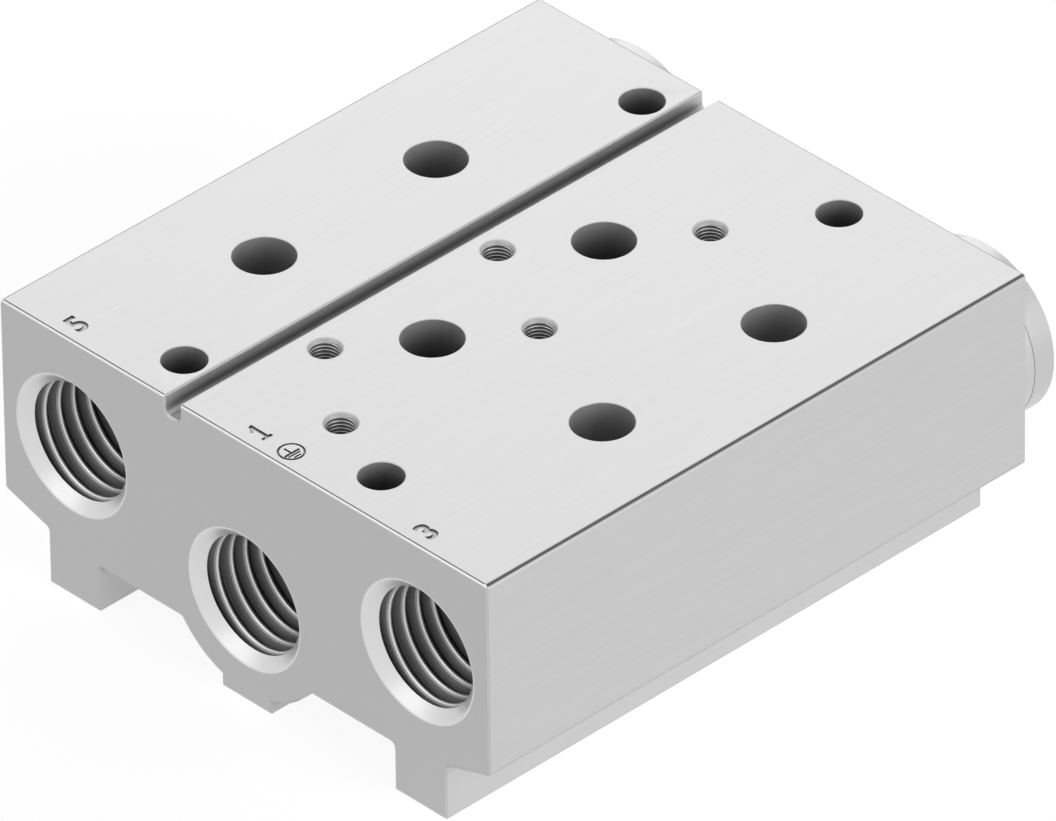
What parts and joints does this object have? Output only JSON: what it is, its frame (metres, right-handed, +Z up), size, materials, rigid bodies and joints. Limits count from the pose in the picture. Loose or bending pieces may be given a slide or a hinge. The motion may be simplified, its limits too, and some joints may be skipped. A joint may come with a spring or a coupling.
{
  "type": "valve connection block",
  "caption": "Aluminium manifold rail for valves, with tapped ports in front, plugged channels at the rear, a flat valve face with screw holes and mounting holes, and feet below.",
  "frame": {"origin": "middle of the block's footprint, on the plane that the feet and the pad stand on", "axes": "+X across the rail towards channel 3, +Y along the rail towards the plugs, +Z up through the valve face"},
  "size_m": [0.0612, 0.0701, 0.0278],
  "materials": {
    "block_aluminium": "brushed extrusion with machined end faces, clear anodised",
    "plug_metal": "turned, bright",
    "ring_metal": "plain, bright"
  },
  "bodies": {
    "root": {"manifold_block": "block_aluminium", "blanking_plug_5": "plug_metal", "sealing_ring_5": "ring_metal", "blanking_plug_1": "plug_metal", "sealing_ring_1": "ring_metal", "blanking_plug_3": "plug_metal", "sealing_ring_3": "ring_metal"}
  },
  "joints": []
}
